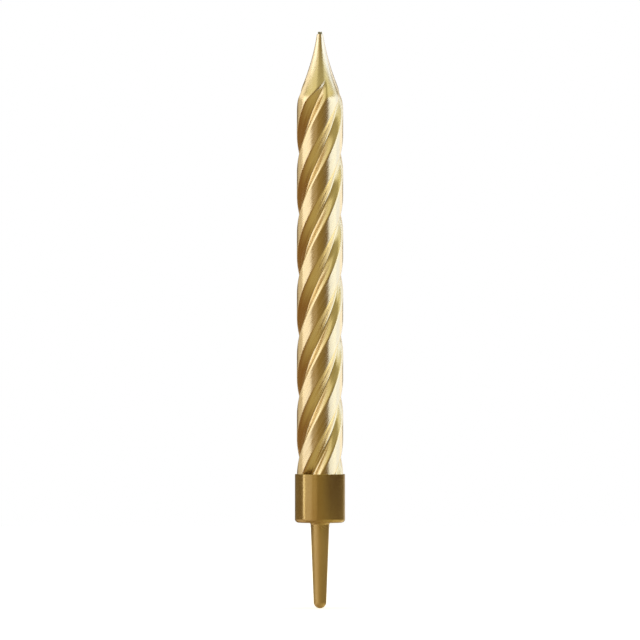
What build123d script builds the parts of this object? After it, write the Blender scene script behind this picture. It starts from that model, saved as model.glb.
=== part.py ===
import os

from build123d import *

# Sizes in millimetres. The origin is the centre of the cup's flat underside,
# where it sits on the icing. +Z runs up the candle and -Y faces the viewer.

# Wax rod: drawn with flutes, then twisted
wax_diameter = 6.0
candle_length = 62.05
flute_count = 4
flute_depth = 0.9
twist_lead = 31.5

# Each groove falls gently from one land and climbs steeply to the next
gentle_flank_angle = 26.0
steep_flank_angle = 17.0
gentle_land_round = 0.7
steep_land_round = 1.1
groove_round = 0.3
butt_groove_angle = 11.1

# Lighting tip: a hollow taper pressed round the wick, with a soft shoulder
tip_length = 8.4
tip_diameter = 0.8
tip_hollow = 0.32
shoulder_round = 2.2

# Wick: one cotton cord from the butt to just proud of the tip
wick_diameter = 0.6
wick_proud = 0.25
wick_fit = 0.01

# Tapered butt of the candle, and the socket that it is pushed into
seat_depth = 5.0
seat_taper = 0.22
seat_clearance = 0.02
trim_margin = 0.02

# Holder: one moulding, a cup with a spike under it
cup_wall = 0.21
cup_floor = 1.3
cup_corner_round = 0.5
cup_rim_round = 0.07
spike_length = 11.1
spike_root_diameter = 2.4
spike_tip_diameter = 1.6
spike_root_round = 0.3

# Places worked out from the sizes above
wax_radius = wax_diameter / 2
groove_radius = wax_radius - flute_depth
tip_radius = tip_diameter / 2
wick_radius = wick_diameter / 2
butt_z = cup_floor
rim_z = butt_z + seat_depth
tip_z = butt_z + candle_length
shoulder_z = tip_z - tip_length
trim_radius = wax_radius + trim_margin
butt_radius = trim_radius - seat_taper
socket_mouth_radius = trim_radius + seat_clearance
socket_floor_radius = butt_radius + seat_clearance
cup_radius = socket_mouth_radius + cup_wall
spike_root_radius = spike_root_diameter / 2
spike_tip_radius = spike_tip_diameter / 2
spike_nose_z = spike_tip_radius - spike_length
rim_round = min(cup_rim_round, cup_wall / 3)


def polar_point(radius, angle):
    return Vector(radius, 0).rotate(Axis.Z, angle)


def past_land_edge(angle):
    """A point on the flank's straight line, carried out past the land's edge at this angle."""
    groove_bottom = polar_point(groove_radius, 0)
    return groove_bottom + (polar_point(wax_radius, angle) - groove_bottom) * flank_overrun


def round_corner(sketch, place, radius):
    fillet(sketch.vertices().sort_by_distance(place)[0], radius)


# Wax body: the fluted section twisted up the axis, trimmed to the rod's outline
flank_overrun = 1.5
groove_outline = [
    polar_point(groove_radius, 0),
    past_land_edge(-gentle_flank_angle),
    polar_point(wax_diameter, 0),
    past_land_edge(steep_flank_angle),
]
groove_angles = [butt_groove_angle + 360 * flute / flute_count for flute in range(flute_count)]

with BuildLine() as candle_axis:
    Line((0, 0, butt_z), (0, 0, tip_z))

with BuildLine() as twist_guide:
    Helix(twist_lead, candle_length, wax_radius, center=(0, 0, butt_z))

with BuildPart() as wax_body:
    with BuildSketch(Plane.XY.offset(butt_z)) as fluted_section:
        Circle(wax_radius)
        with PolarLocations(0, flute_count, start_angle=butt_groove_angle):
            Polygon(*groove_outline, align=None, mode=Mode.SUBTRACT)
        for angle in groove_angles:
            gentle_edge = polar_point(wax_radius, angle - gentle_flank_angle)
            steep_edge = polar_point(wax_radius, angle + steep_flank_angle)
            round_corner(fluted_section, gentle_edge, gentle_land_round)
            round_corner(fluted_section, steep_edge, steep_land_round)
            round_corner(fluted_section, polar_point(groove_radius, angle), groove_round)
    sweep(path=candle_axis.line, binormal=twist_guide.edge())
    with BuildSketch(Plane.XZ) as rod_outline:
        with BuildLine():
            Polyline(
                (tip_radius, tip_z),
                (0, tip_z),
                (0, butt_z),
                (butt_radius, butt_z),
                (trim_radius, rim_z),
                (trim_radius, shoulder_z),
            )
            SagittaArc((trim_radius, shoulder_z), (tip_radius, tip_z), tip_hollow)
        make_face()
        round_corner(rod_outline, (trim_radius, shoulder_z), shoulder_round)
    revolve(axis=Axis.Z, mode=Mode.INTERSECT)
    with BuildSketch(Plane.XY.offset(butt_z)):
        Circle(wick_radius + wick_fit)
    extrude(amount=candle_length, mode=Mode.SUBTRACT)

# Wick: runs the whole length of the wax and shows as a short end at the tip
with BuildPart() as wick:
    with BuildSketch(Plane.XY.offset(butt_z)):
        Circle(wick_radius)
    extrude(amount=candle_length + wick_proud)

# Holder: tapered socket, thin cup wall, solid floor and round-nosed spike
with BuildPart() as holder:
    with BuildSketch(Plane.XZ) as holder_outline:
        with BuildLine():
            Polyline(
                (0, -spike_length),
                (0, butt_z),
                (socket_floor_radius, butt_z),
                (socket_mouth_radius, rim_z),
                (cup_radius, rim_z),
                (cup_radius, 0),
                (spike_root_radius, 0),
                (spike_tip_radius, spike_nose_z),
            )
            RadiusArc((spike_tip_radius, spike_nose_z), (0, -spike_length), spike_tip_radius)
        make_face()
        round_corner(holder_outline, (socket_mouth_radius, rim_z), rim_round)
        round_corner(holder_outline, (cup_radius, rim_z), rim_round)
        round_corner(holder_outline, (cup_radius, 0), cup_corner_round)
        round_corner(holder_outline, (spike_root_radius, 0), spike_root_round)
    revolve(axis=Axis.Z)

os.makedirs("parts", exist_ok=True)
for piece, node in ((wax_body, "wax_body"), (wick, "wick"), (holder, "holder")):
    piece.part.label = node
    export_step(piece.part, f"parts/{node}.step")
    print(node, "volume", round(piece.part.volume, 2), "mm3")
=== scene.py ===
import math

import bmesh
import bpy
from mathutils import Matrix, Vector


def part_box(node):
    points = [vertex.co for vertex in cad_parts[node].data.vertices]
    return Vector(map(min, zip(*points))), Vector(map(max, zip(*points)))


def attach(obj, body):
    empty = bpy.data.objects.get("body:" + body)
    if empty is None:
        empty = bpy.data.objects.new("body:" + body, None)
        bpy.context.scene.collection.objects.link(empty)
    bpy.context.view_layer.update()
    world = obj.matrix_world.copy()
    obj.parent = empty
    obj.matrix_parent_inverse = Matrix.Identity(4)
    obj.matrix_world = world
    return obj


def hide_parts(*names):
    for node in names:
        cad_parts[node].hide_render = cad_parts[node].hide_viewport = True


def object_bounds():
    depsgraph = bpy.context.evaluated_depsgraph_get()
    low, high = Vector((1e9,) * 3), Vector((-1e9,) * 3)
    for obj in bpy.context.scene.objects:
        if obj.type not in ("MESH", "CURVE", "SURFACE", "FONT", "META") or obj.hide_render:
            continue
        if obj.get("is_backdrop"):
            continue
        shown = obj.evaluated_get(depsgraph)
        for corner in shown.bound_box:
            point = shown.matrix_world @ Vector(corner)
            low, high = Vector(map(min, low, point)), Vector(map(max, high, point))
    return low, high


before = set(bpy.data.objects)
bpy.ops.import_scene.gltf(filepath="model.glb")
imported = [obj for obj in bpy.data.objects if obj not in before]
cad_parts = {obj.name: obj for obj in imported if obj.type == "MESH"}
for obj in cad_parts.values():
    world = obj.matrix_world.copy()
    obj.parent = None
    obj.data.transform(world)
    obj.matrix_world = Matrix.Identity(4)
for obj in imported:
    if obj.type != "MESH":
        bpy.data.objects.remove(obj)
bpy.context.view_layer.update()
scene = bpy.context.scene
mm = 0.001
noiseUnit = 0.5  # a noise cell holds a light streak and a dark one, each one width across
print("frame loaded:", ", ".join(sorted(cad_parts)))


def toLinear(hexColour):
    # sRGB hex to the linear colour that shaders take
    channels = [int(hexColour[at:at + 2], 16) / 255 for at in (0, 2, 4)]
    linear = [c / 12.92 if c <= 0.04045 else ((c + 0.055) / 1.055) ** 2.4 for c in channels]
    return (*linear, 1.0)


def feed(tree, socket, value):
    # links a node or one of its outputs to the socket, or sets the socket to a plain value
    if isinstance(value, bpy.types.Node):
        value = next(out for out in value.outputs if out.enabled)
    if isinstance(value, bpy.types.NodeSocket):
        tree.links.new(value, socket)
    else:
        socket.default_value = value


def addNode(tree, kind, *values, **settings):
    # values go to the node's sockets in order, or by name where they come in a dictionary
    node = tree.nodes.new(kind)
    for name, value in settings.items():
        setattr(node, name, value)
    shown = [socket for socket in node.inputs if socket.enabled]
    wanted = {}
    for place, value in enumerate(values):
        wanted.update(value if isinstance(value, dict) else {place: value})
    for place, value in wanted.items():
        socket = shown[place] if isinstance(place, int) else next(s for s in shown if s.name == place)
        feed(tree, socket, value)
    return node


def newMaterial(name):
    material = bpy.data.materials.new(name)
    material.use_nodes = True
    return material


def setShader(material, looks):
    # gives the shader its looks by socket name: nodes where they vary, plain values elsewhere
    shader = material.node_tree.nodes["Principled BSDF"]
    for name, value in looks.items():
        feed(material.node_tree, shader.inputs[name], value)
    return material


def addObject(name, data):
    # a new object in the scene, at the origin
    added = bpy.data.objects.new(name, data)
    scene.collection.objects.link(added)
    return added


def newTree(name, sizes):
    # a geometry tree with one named input for each size
    tree = bpy.data.node_groups.new(name, "GeometryNodeTree")
    tree.interface.new_socket("Mesh", in_out="OUTPUT", socket_type="NodeSocketGeometry")
    for label, value in sizes.items():
        kind = "NodeSocketInt" if isinstance(value, int) else "NodeSocketFloat"
        tree.interface.new_socket(label, in_out="INPUT", socket_type=kind)
    group = tree.nodes.new("NodeGroupInput")
    return tree, {label: group.outputs[label] for label in sizes}


def meshFromTree(name, tree, sizes):
    # runs the tree once and keeps its result as a plain mesh
    piece = addObject(name, bpy.data.meshes.new(name))
    modifier = piece.modifiers.new("shape", "NODES")
    modifier.node_group = tree
    for item in tree.interface.items_tree:
        if item.in_out == "INPUT":
            modifier[item.identifier] = sizes[item.name]
    graph = bpy.context.evaluated_depsgraph_get()
    mesh = bpy.data.meshes.new_from_object(
        piece.evaluated_get(graph), preserve_all_data_layers=True, depsgraph=graph
    )
    piece.modifiers.remove(modifier)
    piece.data = mesh
    mesh.name = name
    print(name, "has", len(mesh.polygons), "faces")
    return piece


def circlePlace(tree, angle, radius, height):
    # the place at this angle round the axis
    cosine = addNode(tree, "ShaderNodeMath", angle, operation="COSINE")
    sine = addNode(tree, "ShaderNodeMath", angle, operation="SINE")
    x = addNode(tree, "ShaderNodeMath", cosine, radius, operation="MULTIPLY")
    y = addNode(tree, "ShaderNodeMath", sine, radius, operation="MULTIPLY")
    return addNode(tree, "ShaderNodeCombineXYZ", x, y, height)


# Wax rod, mm and degrees: four flutes twisted to the right, a hollow tip and a tapered butt
waxRod = {
    "diameter": 6.0,
    "flutes": 4,
    "fluteDepth": 0.9,
    "lead": 31.5,
    "gentleFlank": 26.0,
    "steepFlank": 17.0,
    "gentleRound": 0.7,
    "steepRound": 1.1,
    "grooveRound": 0.3,
    "firstGroove": 11.1,
    "tipLength": 8.4,
    "tipDiameter": 0.8,
    "tipHollow": 0.335,
    "shoulderRound": 2.2,
    "shoulderSpread": 1.5,  # the hollow tip turns in harder here than a straight cone would
    "trimMargin": 0.02,
    "seatDepth": 5.0,
    "seatTaper": 0.22,
    "boreDiameter": 0.62,
    "drawLineWidth": 0.34,
    "drawLineLength": 14.0,
    "drawLineDepth": 0.04,
    "drawLineOnLand": 0.25,  # shares of that depth: faint on the lands, strong in the grooves
    "drawLineInGroove": 2.5,
    "columns": 352,
    "rows": {"butt": 3, "body": 170, "taper": 64, "tip": 2, "bore": 30},
    "taperRowsReach": 1.15,  # the closer rows cover this many tip lengths
    "leastCosine": 0.05,  # keeps a flank's line finite on the far side of the rod
    "mergeGap": 0.001,
    "crispAngle": 50.0,
    "goldPale": "F9E8C0",
    "goldDeep": "F5DFAE",
    "goldGroove": "F7E5B8",
    "grooveToneFrom": 0.25,  # share of the flute's depth
    "grooveToneShare": 0.85,
    "goldTip": "FAEDD0",
    "tipToneFull": 0.5,  # tip lengths below the top
    "tipToneShare": 0.8,
    "streakWidth": 0.16,
    "streakLength": 9.0,
    "streakContrast": (0.3, 0.7),
    "roughSmooth": 0.22,
    "roughStreak": 0.31,
    "scratchWidth": 0.07,  # a die leaves finer lines, these are as coarse as they need to show
    "scratchDepth": 0.0011,
    "coat": 0.3,
    "coatRough": 0.12,
    "waxIvory": "F1E7CF",
    "waxShade": "E2D3B0",
    "cloudSize": 1.2,
    "grainDepth": 0.02,
    "grainStrength": 0.4,
    "waxRough": 0.45,
    "waxIor": 1.43,
    "waxGlow": 0.3,
    "waxGlowDepth": 0.8,
}


def flankLine(angle, radius, grooveRadius):
    # a flank is a straight line in section: how far it passes from the axis, which way it leans,
    # and the turn it makes with the land
    across = radius * math.cos(angle) - grooveRadius
    along = radius * math.sin(angle)
    lean = math.atan2(across, along)
    return grooveRadius * math.cos(lean), lean, lean + angle


def roundReach(radius, turn):
    # smooth minimum takes a sixth of this off a corner, as a round of that radius does
    return 6 * radius * (1 / math.cos(turn / 2) - 1) / math.cos(turn / 2)


def makeGoldLacquer():
    # Metallised gold lacquer over drawn wax: bright mirror-like streaks along the flutes,
    # another gold in the grooves, paler at the tip, and fine lines from the drawing die
    material = newMaterial("goldLacquerOnWax")
    tree = material.node_tree
    onRod = addNode(tree, "ShaderNodeAttribute", attribute_name="straightRod").outputs["Vector"]
    depth = addNode(tree, "ShaderNodeAttribute", attribute_name="fluteDepth").outputs["Fac"]
    wide = 1 / (waxRod["streakWidth"] * mm)
    fine = 1 / (waxRod["scratchWidth"] * mm)
    along = 1 / (waxRod["streakLength"] * mm)
    streakPlace = addNode(
        tree, "ShaderNodeVectorMath", onRod, (wide, wide, along), operation="MULTIPLY"
    )
    streak = addNode(
        tree, "ShaderNodeTexNoise", streakPlace, {"Scale": noiseUnit, "Detail": 3.0, "Roughness": 0.6}
    )
    dim, bright = waxRod["streakContrast"]
    tone = addNode(tree, "ShaderNodeMapRange", streak, dim, bright, 0.0, 1.0)
    land = addNode(
        tree, "ShaderNodeMix", tone, toLinear(waxRod["goldDeep"]), toLinear(waxRod["goldPale"]),
        data_type="RGBA",
    )
    sunk = addNode(
        tree, "ShaderNodeMapRange", depth, waxRod["grooveToneFrom"], 1.0, 0.0, waxRod["grooveToneShare"]
    )
    body = addNode(tree, "ShaderNodeMix", sunk, land, toLinear(waxRod["goldGroove"]), data_type="RGBA")
    up = addNode(tree, "ShaderNodeSeparateXYZ", onRod).outputs["Z"]
    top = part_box("wax_body")[1][2]
    taperFoot = top - waxRod["tipLength"] * mm
    palest = top - waxRod["tipToneFull"] * waxRod["tipLength"] * mm
    pale = addNode(tree, "ShaderNodeMapRange", up, taperFoot, palest, 0.0, waxRod["tipToneShare"])
    colour = addNode(tree, "ShaderNodeMix", pale, body, toLinear(waxRod["goldTip"]), data_type="RGBA")
    gloss = addNode(
        tree, "ShaderNodeMapRange", streak, dim, bright, waxRod["roughSmooth"], waxRod["roughStreak"]
    )
    scratchPlace = addNode(
        tree, "ShaderNodeVectorMath", onRod, (fine, fine, along), operation="MULTIPLY"
    )
    scratch = addNode(tree, "ShaderNodeTexNoise", scratchPlace, {"Scale": noiseUnit, "Detail": 2.0})
    bump = addNode(
        tree, "ShaderNodeBump",
        {"Strength": 1.0, "Distance": waxRod["scratchDepth"] * mm, "Height": scratch},
    )
    return setShader(material, {
        "Base Color": colour,
        "Roughness": gloss,
        "Normal": bump,
        "Metallic": 1.0,
        "Coat Weight": waxRod["coat"],
        "Coat Roughness": waxRod["coatRough"],
    })


def makeBareWax():
    # Cast paraffin wax where the rod was cut and bored: ivory, faintly clouded, light soaks in
    material = newMaterial("ivoryParaffinWax")
    tree = material.node_tree
    place = addNode(tree, "ShaderNodeTexCoord").outputs["Object"]
    cloud = addNode(
        tree, "ShaderNodeTexNoise", place, {"Scale": 1 / (waxRod["cloudSize"] * mm), "Detail": 4.0}
    )
    tint = addNode(
        tree, "ShaderNodeMix", cloud, toLinear(waxRod["waxShade"]), toLinear(waxRod["waxIvory"]),
        data_type="RGBA",
    )
    grain = addNode(
        tree, "ShaderNodeBump",
        {"Strength": waxRod["grainStrength"], "Distance": waxRod["grainDepth"] * mm, "Height": cloud},
    )
    return setShader(material, {
        "Base Color": tint,
        "Normal": grain,
        "Roughness": waxRod["waxRough"],
        "IOR": waxRod["waxIor"],
        "Subsurface Weight": waxRod["waxGlow"],
        "Subsurface Scale": waxRod["waxGlowDepth"] * mm,
    })


def makeWaxRod():
    low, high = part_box("wax_body")
    length = high[2] - low[2]
    radius = waxRod["diameter"] / 2 * mm
    groove = radius - waxRod["fluteDepth"] * mm
    trim = radius + waxRod["trimMargin"] * mm
    tipRadius = waxRod["tipDiameter"] / 2 * mm
    tipLength = waxRod["tipLength"] * mm
    gentleReach, gentleLean, gentleTurn = flankLine(math.radians(waxRod["gentleFlank"]), radius, groove)
    steepReach, steepLean, steepTurn = flankLine(math.radians(waxRod["steepFlank"]), radius, groove)
    shoulderTurn = waxRod["shoulderSpread"] * math.atan2(trim - tipRadius, tipLength)

    # shares of the grid's rows, from the butt face up the side, over the tip face and down the bore
    rows = waxRod["rows"]
    total = sum(rows.values())
    buttEnd = rows["butt"] / total
    bodyEnd = (rows["butt"] + rows["body"]) / total
    sideEnd = (rows["butt"] + rows["body"] + rows["taper"]) / total
    tipEnd = 1 - rows["bore"] / total
    bodyShare = 1 - waxRod["taperRowsReach"] * tipLength / length
    sizes = {
        "Columns": waxRod["columns"] + 1,
        "Rows": total + 1,
        "Flutes": waxRod["flutes"],
        "Rod Radius": radius,
        "Groove Radius": groove,
        "Trim Radius": trim,
        "Butt Radius": trim - waxRod["seatTaper"] * mm,
        "Bore Radius": waxRod["boreDiameter"] / 2 * mm,
        "Tip Radius": tipRadius,
        "Length": length,
        "Butt Height": low[2],
        "Lead": waxRod["lead"] * mm,
        "First Groove": math.radians(waxRod["firstGroove"]),
        "Gentle Reach": gentleReach,
        "Gentle Lean": gentleLean,
        "Gentle Round": roundReach(waxRod["gentleRound"] * mm, gentleTurn),
        "Steep Reach": steepReach,
        "Steep Lean": steepLean,
        "Steep Round": roundReach(waxRod["steepRound"] * mm, steepTurn),
        "Groove Round": roundReach(waxRod["grooveRound"] * mm, gentleLean + steepLean),
        "Tip Length": tipLength,
        "Tip Hollow": waxRod["tipHollow"] * mm,
        "Shoulder Round": roundReach(waxRod["shoulderRound"] * mm, shoulderTurn),
        "Seat Depth": waxRod["seatDepth"] * mm,
        "Line Width": waxRod["drawLineWidth"] * mm,
        "Line Depth": waxRod["drawLineDepth"] * mm,
    }
    tree, size = newTree("twistedFlutedRod", sizes)

    # a flat grid about its middle, whose columns run up the flutes and whose rows climb the rod
    grid = addNode(tree, "GeometryNodeMeshGrid", 1.0, 1.0, size["Columns"], size["Rows"])
    flat = addNode(tree, "ShaderNodeSeparateXYZ", addNode(tree, "GeometryNodeInputPosition"))
    u = addNode(tree, "ShaderNodeMath", flat.outputs["X"], 0.5, operation="ADD")
    v = addNode(tree, "ShaderNodeMath", flat.outputs["Y"], 0.5, operation="ADD")
    bodyClimb = addNode(tree, "ShaderNodeMapRange", v, buttEnd, bodyEnd, 0.0, bodyShare)
    tipClimb = addNode(tree, "ShaderNodeMapRange", v, bodyEnd, sideEnd, 0.0, 1 - bodyShare)
    climb = addNode(tree, "ShaderNodeMath", bodyClimb, tipClimb, operation="ADD")
    descend = addNode(tree, "ShaderNodeMapRange", v, tipEnd, 1.0, 0.0, 1.0)
    rise = addNode(tree, "ShaderNodeMath", climb, descend, operation="SUBTRACT")
    outward = addNode(tree, "ShaderNodeMapRange", v, 0.0, buttEnd, 0.0, 1.0)
    inward = addNode(tree, "ShaderNodeMapRange", v, sideEnd, tipEnd, 0.0, 1.0)
    skin = addNode(tree, "ShaderNodeMath", outward, inward, operation="SUBTRACT")
    above = addNode(tree, "ShaderNodeMath", rise, size["Length"], operation="MULTIPLY")
    height = addNode(tree, "ShaderNodeMath", above, size["Butt Height"], operation="ADD")

    # angle round the rod before and after the twist, and the angle from the nearest groove
    straight = addNode(tree, "ShaderNodeMath", u, math.tau, operation="MULTIPLY")
    half = addNode(tree, "ShaderNodeMath", math.pi, size["Flutes"], operation="DIVIDE")
    minusHalf = addNode(tree, "ShaderNodeMath", half, -1.0, operation="MULTIPLY")
    fromGroove = addNode(tree, "ShaderNodeMath", straight, half, minusHalf, operation="WRAP")
    turns = addNode(tree, "ShaderNodeMath", above, size["Lead"], operation="DIVIDE")
    started = addNode(tree, "ShaderNodeMath", straight, size["First Groove"], operation="ADD")
    twisted = addNode(tree, "ShaderNodeMath", turns, math.tau, started, operation="MULTIPLY_ADD")

    # section: land, then a gentle and a steep flank to the groove, with every corner rounded
    flanks = []
    for side, leaning in (("Gentle", "SUBTRACT"), ("Steep", "ADD")):
        aside = addNode(tree, "ShaderNodeMath", fromGroove, size[side + " Lean"], operation=leaning)
        cosine = addNode(tree, "ShaderNodeMath", aside, operation="COSINE")
        held = addNode(tree, "ShaderNodeMath", cosine, waxRod["leastCosine"], operation="MAXIMUM")
        line = addNode(tree, "ShaderNodeMath", size[side + " Reach"], held, operation="DIVIDE")
        flanks.append(addNode(
            tree, "ShaderNodeMath", line, size["Rod Radius"], size[side + " Round"],
            operation="SMOOTH_MIN",
        ))
    section = addNode(tree, "ShaderNodeMath", *flanks, size["Groove Round"], operation="SMOOTH_MAX")

    # drawing lines: shallow ripples that run along the flutes
    lineStretch = waxRod["drawLineWidth"] / waxRod["drawLineLength"]
    slow = addNode(tree, "ShaderNodeMath", height, lineStretch, operation="MULTIPLY")
    ring = circlePlace(tree, straight, size["Rod Radius"], slow)
    lineScale = addNode(tree, "ShaderNodeMath", 1.0, size["Line Width"], operation="DIVIDE")
    lines = addNode(tree, "ShaderNodeTexNoise", ring, {"Scale": lineScale, "Detail": 0.5})
    lineRise = addNode(tree, "ShaderNodeMath", lines, 0.5, operation="SUBTRACT")  # noise lies about a half
    lineShare = addNode(
        tree, "ShaderNodeMapRange", section, size["Rod Radius"], size["Groove Radius"],
        waxRod["drawLineOnLand"], waxRod["drawLineInGroove"],
    )
    lineDepth = addNode(tree, "ShaderNodeMath", size["Line Depth"], lineShare, operation="MULTIPLY")
    drawn = addNode(tree, "ShaderNodeMath", lineRise, lineDepth, section, operation="MULTIPLY_ADD")

    # outline: tapered butt, straight rod, then the tip, a cone hollowed by a parabola that is
    # a quarter high at half its length
    seated = addNode(tree, "ShaderNodeMath", above, size["Seat Depth"], operation="DIVIDE")
    taper = addNode(tree, "ShaderNodeMath", size["Trim Radius"], size["Butt Radius"], operation="SUBTRACT")
    seat = addNode(tree, "ShaderNodeMath", seated, taper, size["Butt Radius"], operation="MULTIPLY_ADD")
    toTip = addNode(tree, "ShaderNodeMath", size["Length"], above, operation="SUBTRACT")
    tipShare = addNode(tree, "ShaderNodeMath", toTip, size["Tip Length"], operation="DIVIDE")
    spread = addNode(tree, "ShaderNodeMath", size["Trim Radius"], size["Tip Radius"], operation="SUBTRACT")
    cone = addNode(tree, "ShaderNodeMath", tipShare, spread, size["Tip Radius"], operation="MULTIPLY_ADD")
    other = addNode(tree, "ShaderNodeMath", 1.0, tipShare, operation="SUBTRACT")
    bow = addNode(tree, "ShaderNodeMath", tipShare, other, operation="MULTIPLY")
    hollow = addNode(tree, "ShaderNodeMath", size["Tip Hollow"], -4.0, operation="MULTIPLY")
    tip = addNode(tree, "ShaderNodeMath", bow, hollow, cone, operation="MULTIPLY_ADD")
    seatTrim = addNode(tree, "ShaderNodeMath", drawn, seat, operation="MINIMUM")
    outer = addNode(
        tree, "ShaderNodeMath", seatTrim, tip, size["Shoulder Round"], operation="SMOOTH_MIN"
    )
    wall = addNode(tree, "ShaderNodeMath", outer, size["Bore Radius"], operation="SUBTRACT")
    reach = addNode(tree, "ShaderNodeMath", skin, wall, size["Bore Radius"], operation="MULTIPLY_ADD")

    # what the finishes read: the place on the rod before the twist, the groove's depth, the cut faces
    untwisted = circlePlace(tree, straight, reach, height)
    sunk = addNode(
        tree, "ShaderNodeMapRange", section, size["Rod Radius"], size["Groove Radius"], 0.0, 1.0
    )
    fromMiddle = addNode(tree, "ShaderNodeMath", v, (buttEnd + tipEnd) / 2, operation="SUBTRACT")
    apart = addNode(tree, "ShaderNodeMath", fromMiddle, operation="ABSOLUTE")
    cut = addNode(tree, "ShaderNodeMath", apart, (tipEnd - buttEnd) / 2, operation="GREATER_THAN")
    marked = grid
    for name, value, kind, domain in (
        ("straightRod", untwisted, "FLOAT_VECTOR", "POINT"),
        ("fluteDepth", sunk, "FLOAT", "POINT"),
        ("bareWax", cut, "BOOLEAN", "FACE"),
    ):
        marked = addNode(
            tree, "GeometryNodeStoreNamedAttribute", marked, {"Name": name, "Value": value},
            data_type=kind, domain=domain,
        )

    # roll the grid round the axis, close its seams and keep the edges of the cut faces crisp
    place = circlePlace(tree, twisted, reach, height)
    rolled = addNode(tree, "GeometryNodeSetPosition", marked, {"Position": place})
    gap = waxRod["mergeGap"] * mm
    closed = addNode(tree, "GeometryNodeMergeByDistance", rolled, {"Distance": gap})
    smooth = addNode(tree, "GeometryNodeSetShadeSmooth", closed, {"Shade Smooth": True}, domain="FACE")
    bend = addNode(tree, "GeometryNodeInputMeshEdgeAngle")
    crispFrom = math.radians(waxRod["crispAngle"])
    sharp = addNode(tree, "ShaderNodeMath", bend, crispFrom, operation="GREATER_THAN")
    crisp = addNode(
        tree, "GeometryNodeSetShadeSmooth", smooth, {"Selection": sharp, "Shade Smooth": False},
        domain="EDGE",
    )
    solid = addNode(tree, "GeometryNodeRealizeInstances", crisp)
    gilt = addNode(tree, "GeometryNodeSetMaterial", solid, {"Material": makeGoldLacquer()})
    bare = addNode(tree, "GeometryNodeInputNamedAttribute", "bareWax", data_type="BOOLEAN")
    done = addNode(
        tree, "GeometryNodeSetMaterial", gilt, {"Selection": bare, "Material": makeBareWax()}
    )
    addNode(tree, "NodeGroupOutput", done)
    return meshFromTree("waxRod", tree, sizes)


# Wick, mm: three cotton plies twisted together, dipped dark where they stand out of the tip
wickCord = {
    "diameter": 0.6,
    "plies": 3,
    "plyDiameter": 0.32,
    "layLength": 2.0,
    "stepsPerTurn": 18,
    "sides": 10,
    "cotton": "D9CDB2",
    "cottonShade": "B5A584",
    "dipped": "949072",
    "dippedLength": 0.5,
    "dipFull": 0.6,  # share of the dipped length
    "fibreWidth": 0.035,  # twice a cotton fibre, so that it shows
    "fibreStretch": 6,
    "fuzzDepth": 0.01,
    "fuzzStrength": 0.7,
    "rough": 0.8,
    "ior": 1.53,
    "sheen": 0.15,
}


def makeCotton(top):
    # Twisted cotton thread: dull, fibrous, off-white, and olive grey where the end took the lacquer
    material = newMaterial("twistedCotton")
    tree = material.node_tree
    place = addNode(tree, "ShaderNodeTexCoord").outputs["Object"]
    fine = 1 / (wickCord["fibreWidth"] * mm)
    along = fine / wickCord["fibreStretch"]
    stretched = addNode(tree, "ShaderNodeVectorMath", place, (fine, fine, along), operation="MULTIPLY")
    fibre = addNode(tree, "ShaderNodeTexNoise", stretched, {"Scale": noiseUnit, "Detail": 3.0})
    thread = addNode(
        tree, "ShaderNodeMix", fibre, toLinear(wickCord["cottonShade"]), toLinear(wickCord["cotton"]),
        data_type="RGBA",
    )
    up = addNode(tree, "ShaderNodeSeparateXYZ", place).outputs["Z"]
    dipStart = top - wickCord["dippedLength"] * mm
    dipFull = top - wickCord["dipFull"] * wickCord["dippedLength"] * mm
    dip = addNode(tree, "ShaderNodeMapRange", up, dipStart, dipFull, 0.0, 1.0)
    colour = addNode(tree, "ShaderNodeMix", dip, thread, toLinear(wickCord["dipped"]), data_type="RGBA")
    fuzz = addNode(
        tree, "ShaderNodeBump",
        {"Strength": wickCord["fuzzStrength"], "Distance": wickCord["fuzzDepth"] * mm, "Height": fibre},
    )
    return setShader(material, {
        "Base Color": colour,
        "Normal": fuzz,
        "Roughness": wickCord["rough"],
        "IOR": wickCord["ior"],
        "Sheen Weight": wickCord["sheen"],
    })


def makeWick():
    low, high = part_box("wick")
    length = high[2] - low[2]
    ply = wickCord["plyDiameter"] / 2 * mm
    sizes = {
        "Plies": wickCord["plies"],
        "Ply Radius": ply,
        "Coil Radius": wickCord["diameter"] / 2 * mm - ply,
        "Length": length,
        "Bottom": low[2],
        "Turns": length / (wickCord["layLength"] * mm),
        "Steps": wickCord["stepsPerTurn"],
        "Sides": wickCord["sides"],
    }
    tree, size = newTree("twistedPlies", sizes)

    # one ply along a coil, then as many plies as there are, turned evenly round the axis
    path = addNode(
        tree, "GeometryNodeCurveSpiral", size["Steps"], size["Turns"], size["Coil Radius"],
        size["Coil Radius"], size["Length"],
    )
    plySection = addNode(tree, "GeometryNodeCurvePrimitiveCircle", size["Sides"], size["Ply Radius"])
    strand = addNode(tree, "GeometryNodeCurveToMesh", path, plySection, {"Fill Caps": True})
    foot = addNode(tree, "ShaderNodeCombineXYZ", 0.0, 0.0, size["Bottom"])
    spots = addNode(
        tree, "GeometryNodeMeshLine", size["Plies"], {"Start Location": foot, "Offset": (0, 0, 0)}
    )
    step = addNode(tree, "ShaderNodeMath", math.tau, size["Plies"], operation="DIVIDE")
    index = addNode(tree, "GeometryNodeInputIndex")
    angle = addNode(tree, "ShaderNodeMath", index, step, operation="MULTIPLY")
    turned = addNode(tree, "FunctionNodeAxisAngleToRotation", (0, 0, 1), angle)
    plies = addNode(tree, "GeometryNodeInstanceOnPoints", spots, {"Instance": strand, "Rotation": turned})
    solid = addNode(tree, "GeometryNodeRealizeInstances", plies)
    done = addNode(tree, "GeometryNodeSetMaterial", solid, {"Material": makeCotton(high[2])})
    addNode(tree, "NodeGroupOutput", done)
    return meshFromTree("wickCord", tree, sizes)


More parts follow.
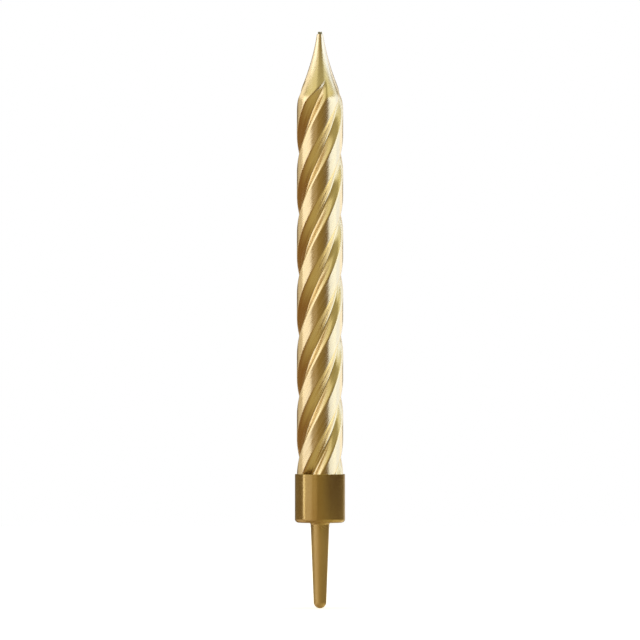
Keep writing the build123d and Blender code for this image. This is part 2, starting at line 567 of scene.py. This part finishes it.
# Holder, mm: one moulding, a thin cup with a tapered socket and a round-nosed spike
cakeHolder = {
    "mouthRadius": 3.04,
    "floorRadius": 2.82,
    "floorHeight": 1.3,
    "floorRound": 0.1,
    "cupRadius": 3.25,
    "rimRound": 0.07,
    "cornerRound": 0.5,
    "spikeRootRadius": 1.2,
    "spikeTipRadius": 0.8,
    "rootRound": 0.3,
    "columns": 180,
    "roundSteps": 8,
    "noseSteps": 14,
    "partingHeight": 0.016,
    "partingSides": 2,
    "plastic": "D1BA7C",
    "plasticShade": "C4A86A",
    # painted glow: the spike's paler colour stands in for light passing through its plastic
    "spikePaintedGlow": "EBD294",
    "spikeBelow": 3.0,
    "paintedGlowShare": 0.45,
    "flowSize": 2.6,
    "flowStretch": 0.4,  # the clouds are drawn out along the axis
    "flakeSize": 0.12,  # mica is finer, this is as coarse as it needs to show
    "flowShare": 0.85,
    "flakeShare": 0.15,
    "toneContrast": (0.35, 0.65),
    "flakeContrast": (0.3, 0.7),
    "sparkle": 0.02,
    "glossCup": 0.22,
    "glossSpike": 0.5,
    "coat": 0.5,
    "coatRough": 0.08,
    "metalOutside": 0.9,
    "metalInside": 0.25,
    "insideMargin": 0.1,  # the socket's finish starts this far under its floor
    "peelDepth": 0.004,
    "peelStrength": 0.5,
    "ior": 1.49,
}


def makeHolderPlastic():
    # Polypropylene moulded with gold mica in it: a metallic gleam under a clear gloss on the cup,
    # matt on the spike, with faint flow clouds and tiny flakes; the spike is painted paler, a painted glow
    # for light passing through its plastic
    material = newMaterial("goldMicaPolypropylene")
    tree = material.node_tree
    place = addNode(tree, "ShaderNodeTexCoord").outputs["Object"]
    drawn = addNode(
        tree, "ShaderNodeVectorMath", place, (1.0, 1.0, cakeHolder["flowStretch"]), operation="MULTIPLY"
    )
    flowScale = 1 / (cakeHolder["flowSize"] * mm)
    flow = addNode(tree, "ShaderNodeTexNoise", drawn, {"Scale": flowScale, "Detail": 2.0})
    flakeScale = noiseUnit / (cakeHolder["flakeSize"] * mm)
    flake = addNode(tree, "ShaderNodeTexNoise", place, {"Scale": flakeScale, "Detail": 1.0})
    cloud = addNode(tree, "ShaderNodeMath", flow, cakeHolder["flowShare"], operation="MULTIPLY")
    mica = addNode(tree, "ShaderNodeMath", flake, cakeHolder["flakeShare"], cloud, operation="MULTIPLY_ADD")
    tone = addNode(tree, "ShaderNodeMapRange", mica, *cakeHolder["toneContrast"], 0.0, 1.0)
    cup = addNode(
        tree, "ShaderNodeMix", tone, toLinear(cakeHolder["plasticShade"]), toLinear(cakeHolder["plastic"]),
        data_type="RGBA",
    )
    up = addNode(tree, "ShaderNodeSeparateXYZ", place).outputs["Z"]
    # the spike is painted paler than the cup, a painted glow for light passing through its plastic; the
    # same mask makes the spike matt
    spike = addNode(tree, "ShaderNodeMapRange", up, 0.0, -cakeHolder["spikeBelow"] * mm, 0.0, 1.0)
    paintedGlow = addNode(tree, "ShaderNodeMath", spike, cakeHolder["paintedGlowShare"], operation="MULTIPLY")
    colour = addNode(
        tree, "ShaderNodeMix", paintedGlow, cup, toLinear(cakeHolder["spikePaintedGlow"]), data_type="RGBA"
    )

    # inside the socket the core pin left the plastic duller
    level = addNode(tree, "ShaderNodeVectorMath", place, (1.0, 1.0, 0.0), operation="MULTIPLY")
    fromAxis = addNode(tree, "ShaderNodeVectorMath", level, operation="LENGTH").outputs["Value"]
    midWall = (cakeHolder["mouthRadius"] + cakeHolder["cupRadius"]) / 2 * mm
    within = addNode(tree, "ShaderNodeMath", fromAxis, midWall, operation="LESS_THAN")
    insideFrom = (cakeHolder["floorHeight"] - cakeHolder["insideMargin"]) * mm
    aboveFloor = addNode(tree, "ShaderNodeMath", up, insideFrom, operation="GREATER_THAN")
    socket = addNode(tree, "ShaderNodeMath", within, aboveFloor, operation="MULTIPLY")
    metal = addNode(
        tree, "ShaderNodeMapRange", socket, 0.0, 1.0, cakeHolder["metalOutside"], cakeHolder["metalInside"]
    )

    # the cup came out of a polished cavity and the spike out of a matt one
    matt = addNode(
        tree, "ShaderNodeMapRange", spike, 0.0, 1.0, cakeHolder["glossCup"], cakeHolder["glossSpike"]
    )
    sparkle = addNode(
        tree, "ShaderNodeMapRange", flake, *cakeHolder["flakeContrast"],
        -cakeHolder["sparkle"], cakeHolder["sparkle"],
    )
    gloss = addNode(tree, "ShaderNodeMath", matt, sparkle, operation="ADD")
    peel = addNode(
        tree, "ShaderNodeBump",
        {"Strength": cakeHolder["peelStrength"], "Distance": cakeHolder["peelDepth"] * mm, "Height": flow},
    )
    return setShader(material, {
        "Base Color": colour,
        "Roughness": gloss,
        "Normal": peel,
        "Metallic": metal,
        "IOR": cakeHolder["ior"],
        "Coat Weight": cakeHolder["coat"],
        "Coat Roughness": cakeHolder["coatRough"],
    })


def roundCorner(before, corner, after, radius, steps):
    # the points of an arc that takes the corner off
    toBefore = (before - corner).normalized()
    toAfter = (after - corner).normalized()
    bend = toBefore.angle(toAfter)
    centre = corner + (toBefore + toAfter).normalized() * (radius / math.sin(bend / 2))
    start = corner + toBefore * (radius / math.tan(bend / 2)) - centre
    end = corner + toAfter * (radius / math.tan(bend / 2)) - centre
    sweep = math.atan2(start.cross(end), start.dot(end))
    return [centre + Matrix.Rotation(sweep * step / steps, 2) @ start for step in range(steps + 1)]


def holderOutline():
    # the moulding's half section, from the socket's floor over the rim and down to the spike's nose
    low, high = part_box("holder")
    bottom, rim = low[2] / mm, high[2] / mm
    noseRadius = cakeHolder["spikeTipRadius"]
    nose = bottom + noseRadius
    corners = [
        (Vector((0, cakeHolder["floorHeight"])), 0),
        (Vector((cakeHolder["floorRadius"], cakeHolder["floorHeight"])), cakeHolder["floorRound"]),
        (Vector((cakeHolder["mouthRadius"], rim)), cakeHolder["rimRound"]),
        (Vector((cakeHolder["cupRadius"], rim)), cakeHolder["rimRound"]),
        (Vector((cakeHolder["cupRadius"], 0)), cakeHolder["cornerRound"]),
        (Vector((cakeHolder["spikeRootRadius"], 0)), cakeHolder["rootRound"]),
        (Vector((noseRadius, nose)), 0),
    ]
    outline = [corners[0][0]]
    for before, (corner, radius), after in zip(corners, corners[1:], corners[2:]):
        outline += roundCorner(before[0], corner, after[0], radius, cakeHolder["roundSteps"])
    noseSteps = cakeHolder["noseSteps"]
    for step in range(noseSteps + 1):
        turn = math.pi / 2 * step / noseSteps
        onNose = Vector((math.cos(turn), -math.sin(turn))) * noseRadius
        outline.append(onNose + Vector((0, nose)))
    return outline


def makeHolder():
    # turn the outline round the axis, with a faint parting line of the mould on two sides
    outline = holderOutline()
    columns = cakeHolder["columns"]
    partingStep = columns // cakeHolder["partingSides"]
    rimEnd = 1 + 3 * (cakeHolder["roundSteps"] + 1)  # past the rounds of the floor, mouth and rim
    shell = bmesh.new()
    rings = []
    for place, point in enumerate(outline):
        if place in (0, len(outline) - 1):
            rings.append([shell.verts.new((0, 0, point.y * mm))])
            continue
        ring = []
        for column in range(columns):
            turn = math.tau * column / columns
            reach = point.x
            if place > rimEnd and column % partingStep == 0:
                reach += cakeHolder["partingHeight"]
            x = reach * math.cos(turn) * mm
            y = reach * math.sin(turn) * mm
            ring.append(shell.verts.new((x, y, point.y * mm)))
        rings.append(ring)

    # a ring of one point is a pole, where the faces have three corners
    for first, second in zip(rings, rings[1:]):
        for near in range(columns):
            far = (near + 1) % columns
            around = ((first, near), (first, far), (second, far), (second, near))
            corners = [ring[column % len(ring)] for ring, column in around]
            shell.faces.new(dict.fromkeys(corners))
    bmesh.ops.recalc_face_normals(shell, faces=shell.faces)
    for face in shell.faces:
        face.smooth = True
    mesh = bpy.data.meshes.new("cakeHolder")
    shell.to_mesh(mesh)
    shell.free()
    mesh.materials.append(makeHolderPlastic())
    print("cakeHolder has", len(mesh.polygons), "faces")
    return addObject("cakeHolder", mesh)


rod = makeWaxRod()
wick = makeWick()
holder = makeHolder()
for piece, body, node, slot in (
    (rod, "candle", "wax_body", "gold_wax"),
    (wick, "candle", "wick", "wick_cotton"),
    (holder, "holder", "holder", "holder_plastic"),
):
    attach(piece, body)
    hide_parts(node)
print("pieces ride on their bodies")

# Studio, mm and degrees: white floor and background, with brown cards all round for the gold to reflect
studio = {
    "floorSize": 900.0,
    "floorWhite": "F4F2EE",
    "floorGlow": 0.62,
    "floorRough": 0.9,
    "sunStrength": 1.7,
    "sunAngle": 60.0,
    "panelDistance": 3000.0,
    "eyeHeight": 30.0,
    "cardFront": "89723E",
}

# Cards laid over the front one in this order: each fades in as the view turns along its axis
cards = {
    "left": {"axis": "X", "from": -0.5, "full": -0.75, "colour": "6A5228"},
    "right": {"axis": "X", "from": 0.05, "full": 0.82, "colour": "4A3220"},
    "behind": {"axis": "Y", "from": 0.2, "full": 0.7, "colour": "75654A"},
    "above": {"axis": "Z", "from": 0.3, "full": 0.75, "colour": "AEA878"},
    "below": {"axis": "Z", "from": -0.05, "full": -0.3, "colour": "7F5D30"},
}
belowRight = {"axis": "X", "from": -0.6, "full": 0.5, "colour": "B19F68"}  # lies on the card below

# Soft panels, one set for the candle alone and one for the holder alone: degrees round the axis from
# the camera's side, degrees above the level, and brightness
candlePanels = {
    "candleLeft": {"from": -96, "to": -44, "low": -5, "high": 31, "light": 1.15, "colour": "FFFFFF"},
    "candleSoft": {"from": -44, "to": -14, "low": -5, "high": 35, "light": 0.2, "colour": "FFF2DC"},
    "candleBack": {"from": -150, "to": -92, "low": 14, "high": 32, "light": 0.85, "colour": "FFFAF0"},
    "candleEdge": {"from": -140, "to": -92, "low": -12, "high": 14, "light": 0.45, "colour": "FFF6E0"},
    "candleRight": {"from": 44, "to": 88, "low": -6, "high": 31, "light": 1.5, "colour": "DDEBFF"},
    "candleFarRight": {"from": 88, "to": 116, "low": -6, "high": 32, "light": 1.4, "colour": "CDDFFF"},
    "candleRim": {"from": 116, "to": 150, "low": -6, "high": 20.5, "light": 1.2, "colour": "E4E8F0"},
    "candleLow": {"from": 72, "to": 150, "low": -22, "high": -6, "light": 0.82, "colour": "FFFFE1"},
    "candleHighLeft": {"from": -94, "to": -24, "low": 31, "high": 60, "light": 0.38, "colour": "FFFBD2"},
    "candleHighRight": {"from": 40, "to": 130, "low": 35, "high": 60, "light": 0.42, "colour": "F8F8C4"},
    "candleLowBack": {"from": 125, "to": 178, "low": -52, "high": -15, "light": 0.9, "colour": "FFF6DC"},
    "candleLowBehind": {"from": 178, "to": 226, "low": -52, "high": -15, "light": 0.9, "colour": "FFF6DC"},
}
holderPanels = {
    "holderLeft": {"from": -80, "to": -38, "low": -20, "high": 50, "light": 0.54, "colour": "FFF4E6"},
    "holderSoft": {"from": -38, "to": -14, "low": -20, "high": 50, "light": 0.26, "colour": "FFECC8"},
    "holderBack": {"from": 142, "to": 168, "low": -30, "high": 40, "light": 0.4, "colour": "FFF4E6"},
    "holderLowLeft": {"from": -84, "to": -24, "low": -55, "high": -20, "light": 0.22, "colour": "FFF4E6"},
    "holderLowEdge": {"from": -144, "to": -84, "low": -50, "high": -10, "light": 0.4, "colour": "FFF4E6"},
    "holderLowRight": {"from": 70, "to": 150, "low": -55, "high": -20, "light": 0.22, "colour": "FFF4E6"},
    "holderStreak": {"from": -83, "to": -77, "low": -8, "high": 50, "light": 2.0, "colour": "FFFCFA"},
}


def makeFloor():
    # pale and glowing a little, so that it is as white as the background
    white = toLinear(studio["floorWhite"])
    material = setShader(newMaterial("paleFloor"), {
        "Base Color": white,
        "Emission Color": white,
        "Emission Strength": studio["floorGlow"],
        "Roughness": studio["floorRough"],
    })
    half = studio["floorSize"] / 2 * mm
    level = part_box("holder")[0][2]
    around = ((-half, -half), (half, -half), (half, half), (-half, half))
    mesh = bpy.data.meshes.new("floor")
    mesh.from_pydata([(x, y, level) for x, y in around], [], [(0, 1, 2, 3)])
    mesh.materials.append(material)
    floor = addObject("floor", mesh)
    floor.visible_glossy = False
    floor.visible_shadow = False
    floor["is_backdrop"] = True
    return floor


def layCard(tree, way, card, under, over):
    # goes from one colour to the other as the view turns towards the card
    turned = way.outputs[card["axis"]]
    share = addNode(tree, "ShaderNodeMapRange", turned, card["from"], card["full"], 0.0, 1.0)
    return addNode(tree, "ShaderNodeMix", share, under, over, data_type="RGBA")


def makeCards():
    # white to the camera; the pieces see the cards instead
    world = bpy.data.worlds.new("studio")
    world.use_nodes = True
    scene.world = world
    tree = world.node_tree
    tree.nodes.clear()
    way = addNode(tree, "ShaderNodeSeparateXYZ", addNode(tree, "ShaderNodeTexCoord").outputs["Generated"])
    colours = {name: toLinear(card["colour"]) for name, card in cards.items()}
    colours["below"] = layCard(tree, way, belowRight, colours["below"], toLinear(belowRight["colour"]))
    around = toLinear(studio["cardFront"])
    for name, card in cards.items():
        around = layCard(tree, way, card, around, colours[name])
    brown = addNode(tree, "ShaderNodeBackground", around, 1.0)
    white = addNode(tree, "ShaderNodeBackground", (1.0, 1.0, 1.0, 1.0), 1.0)
    seen = addNode(tree, "ShaderNodeLightPath").outputs["Is Camera Ray"]
    addNode(tree, "ShaderNodeOutputWorld", addNode(tree, "ShaderNodeMixShader", seen, brown, white))


def litOnly(name, pieces):
    # the light that gets this group falls on these pieces alone, as if the rest were flagged off
    group = bpy.data.collections.new(name)
    for piece in pieces:
        group.objects.link(piece)
    return group


def addPanel(name, values, group):
    # a flat soft panel that the axis sees between two angles from the camera's side
    distance = studio["panelDistance"] * mm
    middle = math.radians((values["from"] + values["to"]) / 2)
    width = 2 * distance * math.tan(math.radians(values["to"] - values["from"]) / 2)
    low = distance * math.tan(math.radians(values["low"]))
    high = distance * math.tan(math.radians(values["high"]))
    tall = high - low
    lamp = bpy.data.lights.new(name, "AREA")
    lamp.shape = "RECTANGLE"
    lamp.size = width
    lamp.size_y = tall
    lamp.color = toLinear(values["colour"])[:3]
    lamp.energy = values["light"] * math.pi * width * tall
    panel = addObject(name, lamp)
    side = Vector((math.sin(middle), -math.cos(middle), 0))
    panel.location = side * distance
    panel.location.z = (low + high) / 2 + studio["eyeHeight"] * mm
    panel.rotation_euler = side.to_track_quat("Z", "Y").to_euler()
    panel.visible_camera = False
    panel.light_linking.receiver_collection = group


def makeStudio():
    floor = makeFloor()
    makeCards()
    candleOnly = litOnly("candleOnly", [rod, wick])
    holderOnly = litOnly("holderOnly", [holder])
    for panels, group in ((candlePanels, candleOnly), (holderPanels, holderOnly)):
        for name, values in panels.items():
            addPanel(name, values, group)
    lamp = bpy.data.lights.new("overhead", "SUN")
    lamp.energy = studio["sunStrength"]
    lamp.angle = math.radians(studio["sunAngle"])
    overhead = addObject("overhead", lamp)
    overhead.light_linking.receiver_collection = litOnly("floorOnly", [floor])
    scene.view_settings.view_transform = "Standard"


# Camera, mm: level with the middle of the candle, a long lens that takes in the whole height
camera = {"lens": 500.0, "frameHeight": 83.0, "sensor": 36.0, "clipStart": 10.0}


def makeCamera():
    low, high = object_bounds()
    middle = (low[2] + high[2]) / 2
    eye = bpy.data.cameras.new("camera")
    eye.lens = camera["lens"]
    eye.sensor_width = camera["sensor"]
    eye.clip_start = camera["clipStart"] * mm
    stand = addObject("camera", eye)
    distance = camera["frameHeight"] * mm * camera["lens"] / camera["sensor"]
    stand.location = (0, -distance, middle)
    stand.rotation_euler = (math.pi / 2, 0, 0)
    scene.camera = stand


makeStudio()
makeCamera()
print("studio and camera set")
